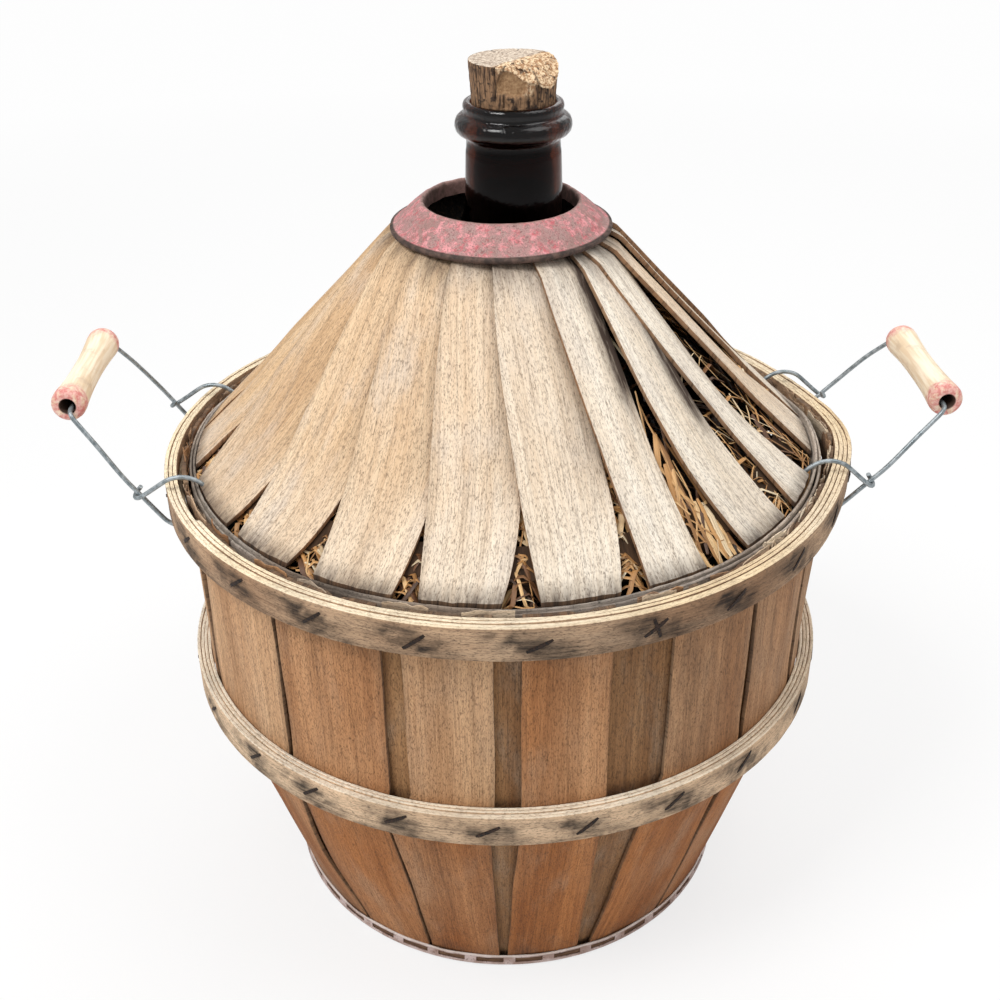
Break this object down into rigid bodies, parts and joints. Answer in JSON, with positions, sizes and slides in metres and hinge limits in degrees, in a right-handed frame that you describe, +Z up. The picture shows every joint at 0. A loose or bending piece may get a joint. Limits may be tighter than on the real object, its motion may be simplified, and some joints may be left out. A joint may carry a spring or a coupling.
{
  "type": "demijohn in a slatted basket",
  "caption": "Dark glass demijohn packed in straw inside a basket of bent wooden staves, with a pointed slat roof, a pressed neck collar, a cork and wire bails with turned wooden grips.",
  "frame": {"origin": "on the floor under the middle of the basket, at the middle of the base disc's underside", "axes": "+Z up through the bottle's neck, +X and -X towards the bails, -Y towards the side that the picture shows"},
  "size_m": [0.5089, 0.4, 0.5169],
  "materials": {
    "bleached_slat_wood": "bare thin wood, bleached grey-beige by the sun, with fine dark pores",
    "brown_stave_wood": "bare thin wood, orange-brown, weathered grey near the hoops",
    "inner_stave_wood": "bare thin wood, darker where the outer staves cover it",
    "hoop_wood": "bare laminated strips, greyish tan with cream edges and black stains at the staples",
    "base_wood": "bare sawn wood",
    "rusty_steel": "brown rusted sheet",
    "worn_red_paint": "faded pink-red paint worn through to rust at the rolled edge",
    "pale_band_paint": "pale pinkish paint over thin slotted strip, chipped",
    "dark_glass": "glossy glass, almost black amber",
    "cork": "cracked dry cork bark",
    "straw": "loose golden straw",
    "galvanised_wire": "dull galvanised wire",
    "turned_grip_wood": "smooth cream wood with worn pink-red painted ends"
  },
  "bodies": {
    "basket": {"glass_bottle": "dark_glass", "neck_collar": "worn_red_paint", "collar_backing_ring": "rusty_steel", "roof_hoop": "hoop_wood", "retaining_hoop": "hoop_wood", "top_hoop": "hoop_wood", "middle_hoop": "hoop_wood", "base_disc": "base_wood", "base_band": "pale_band_paint", "straw_packing": "straw", "roof_slat_01": "bleached_slat_wood", "roof_slat_02": "bleached_slat_wood", "roof_slat_03": "bleached_slat_wood", "roof_slat_04": "bleached_slat_wood", "roof_slat_05": "bleached_slat_wood", "roof_slat_06": "bleached_slat_wood", "roof_slat_07": "bleached_slat_wood", "roof_slat_08": "bleached_slat_wood", "roof_slat_09": "bleached_slat_wood", "roof_slat_10": "bleached_slat_wood", "roof_slat_11": "bleached_slat_wood", "roof_slat_12": "bleached_slat_wood", "roof_slat_13": "bleached_slat_wood", "roof_slat_14": "bleached_slat_wood", "roof_slat_15": "bleached_slat_wood", "roof_slat_16": "bleached_slat_wood", "roof_slat_17": "bleached_slat_wood", "roof_slat_18": "bleached_slat_wood", "roof_slat_19": "bleached_slat_wood", "roof_slat_20": "bleached_slat_wood", "outer_stave_01": "brown_stave_wood", "outer_stave_02": "brown_stave_wood", "outer_stave_03": "brown_stave_wood", "outer_stave_04": "brown_stave_wood", "outer_stave_05": "brown_stave_wood", "outer_stave_06": "brown_stave_wood", "outer_stave_07": "brown_stave_wood", "outer_stave_08": "brown_stave_wood", "outer_stave_09": "brown_stave_wood", "outer_stave_10": "brown_stave_wood", "outer_stave_11": "brown_stave_wood", "outer_stave_12": "brown_stave_wood", "outer_stave_13": "brown_stave_wood", "outer_stave_14": "brown_stave_wood", "outer_stave_15": "brown_stave_wood", "outer_stave_16": "brown_stave_wood", "outer_stave_17": "brown_stave_wood", "outer_stave_18": "brown_stave_wood", "outer_stave_19": "brown_stave_wood", "outer_stave_20": "brown_stave_wood", "inner_staves_front": "inner_stave_wood", "inner_staves_right": "inner_stave_wood", "inner_staves_back": "inner_stave_wood", "inner_staves_left": "inner_stave_wood"},
    "cork": {"cork_stopper": "cork"},
    "left_bail": {"left_bail_wire": "galvanised_wire"},
    "right_bail": {"right_bail_wire": "galvanised_wire"},
    "left_grip": {"left_grip": "turned_grip_wood"},
    "right_grip": {"right_grip": "turned_grip_wood"}
  },
  "joints": [
    {"name": "cork_pull", "type": "slide", "parent": "basket", "child": "cork", "axis": [0, 0, 1], "range_m": [0, 0.06]},
    {"name": "left_bail_hinge", "type": "hinge", "parent": "basket", "child": "left_bail", "pos_m": [-0.18197, 0, 0.28975], "axis": [0, 1, 0], "range_deg": [-110, 70]},
    {"name": "right_bail_hinge", "type": "hinge", "parent": "basket", "child": "right_bail", "pos_m": [0.18197, 0, 0.28975], "axis": [0, -1, 0], "range_deg": [-100, 78]},
    {"name": "left_grip_spin", "type": "hinge", "parent": "left_bail", "child": "left_grip", "pos_m": [-0.24076, 0, 0.34447], "axis": [0, 1, 0], "continuous": true},
    {"name": "right_grip_spin", "type": "hinge", "parent": "right_bail", "child": "right_grip", "pos_m": [0.2486, 0, 0.3346], "axis": [0, -1, 0], "continuous": true}
  ]
}
